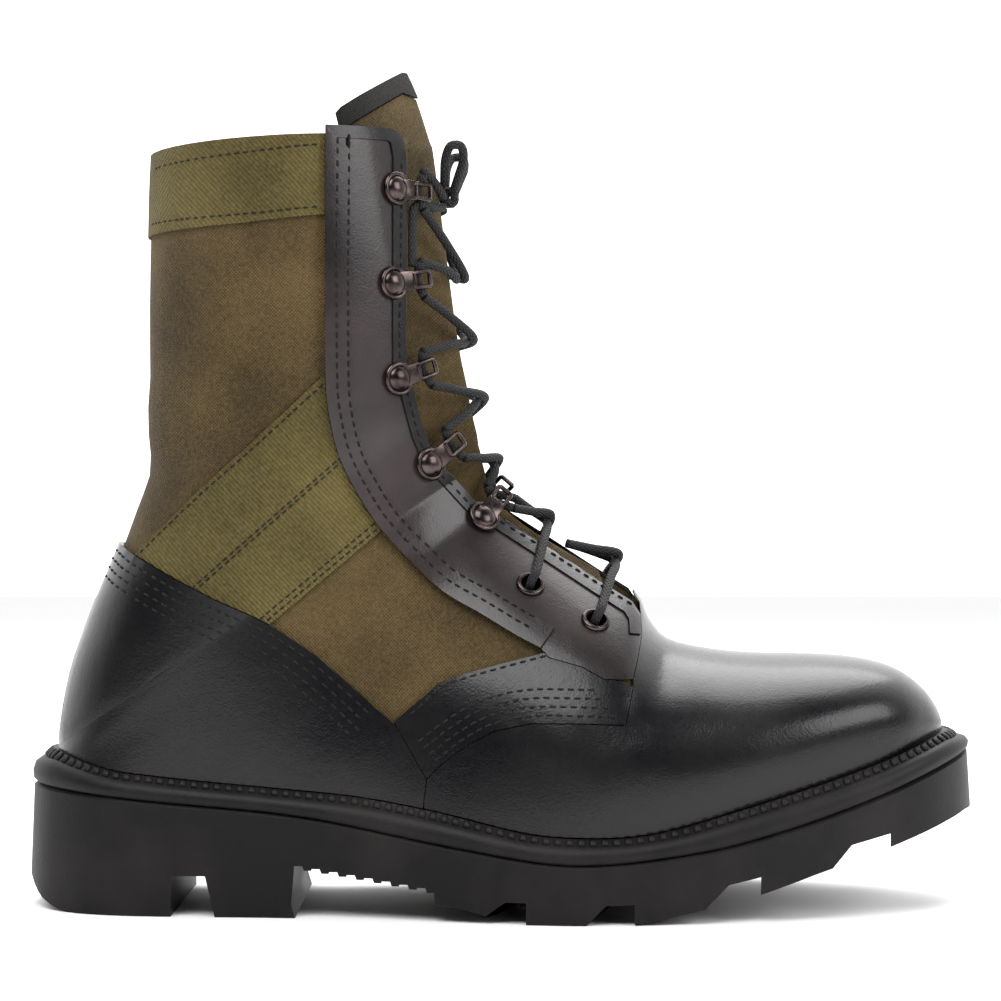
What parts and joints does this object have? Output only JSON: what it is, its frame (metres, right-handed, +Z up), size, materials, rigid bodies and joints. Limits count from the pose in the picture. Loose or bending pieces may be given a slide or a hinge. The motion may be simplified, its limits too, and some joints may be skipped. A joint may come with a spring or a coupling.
{
  "type": "jungle boot",
  "caption": "Tall lace-up boot for the right foot, with a hollow canvas and leather upper, a canvas tongue, lace hooks and a lugged rubber sole.",
  "frame": {"origin": "on the floor, in the middle of the sole's length and width", "axes": "+X towards the toe, +Y towards the inner (medial) side, +Z up"},
  "size_m": [0.3102, 0.1156, 0.273],
  "materials": {
    "sole_rubber": "matt moulded black rubber with fine teeth along the welt",
    "black_leather": "smooth polished black leather with fine creases",
    "facing_leather": "smooth black leather with a brown sheen",
    "olive_canvas": "tightly woven olive brown canvas",
    "olive_webbing": "ribbed olive webbing",
    "binding_tape": "black woven tape",
    "insole_fabric": "dark cloth covered insole",
    "dark_metal": "satin gunmetal plating",
    "lace_cord": "round braided black cord"
  },
  "bodies": {
    "root": {"outsole": "sole_rubber", "welt": "sole_rubber", "insole": "insole_fabric", "upper": "olive_canvas", "tongue": "olive_canvas", "tongue_binding": "binding_tape", "vamp": "black_leather", "heel_counter": "black_leather", "vamp_strip_lateral": "black_leather", "vamp_strip_medial": "black_leather", "eyestay_lateral": "facing_leather", "eyestay_medial": "facing_leather", "collar_webbing": "olive_webbing", "ankle_webbing_lateral": "olive_webbing", "ankle_webbing_medial": "olive_webbing", "hook_lateral_1": "dark_metal", "hook_lateral_2": "dark_metal", "hook_lateral_3": "dark_metal", "hook_lateral_4": "dark_metal", "hook_lateral_5": "dark_metal", "hook_medial_1": "dark_metal", "hook_medial_2": "dark_metal", "hook_medial_3": "dark_metal", "hook_medial_4": "dark_metal", "hook_medial_5": "dark_metal", "eyelet_lateral_1": "dark_metal", "eyelet_lateral_2": "dark_metal", "eyelet_medial_1": "dark_metal", "eyelet_medial_2": "dark_metal", "lace_crossing_1": "lace_cord", "lace_crossing_2": "lace_cord", "lace_crossing_3": "lace_cord", "lace_crossing_4": "lace_cord", "lace_crossing_5": "lace_cord", "lace_crossing_6": "lace_cord", "lace_knot": "lace_cord", "lace_top_lateral": "lace_cord", "lace_top_medial": "lace_cord", "bow_loop_lateral": "lace_cord", "bow_loop_medial": "lace_cord", "lace_end_lateral": "lace_cord", "lace_end_medial": "lace_cord"}
  },
  "joints": []
}
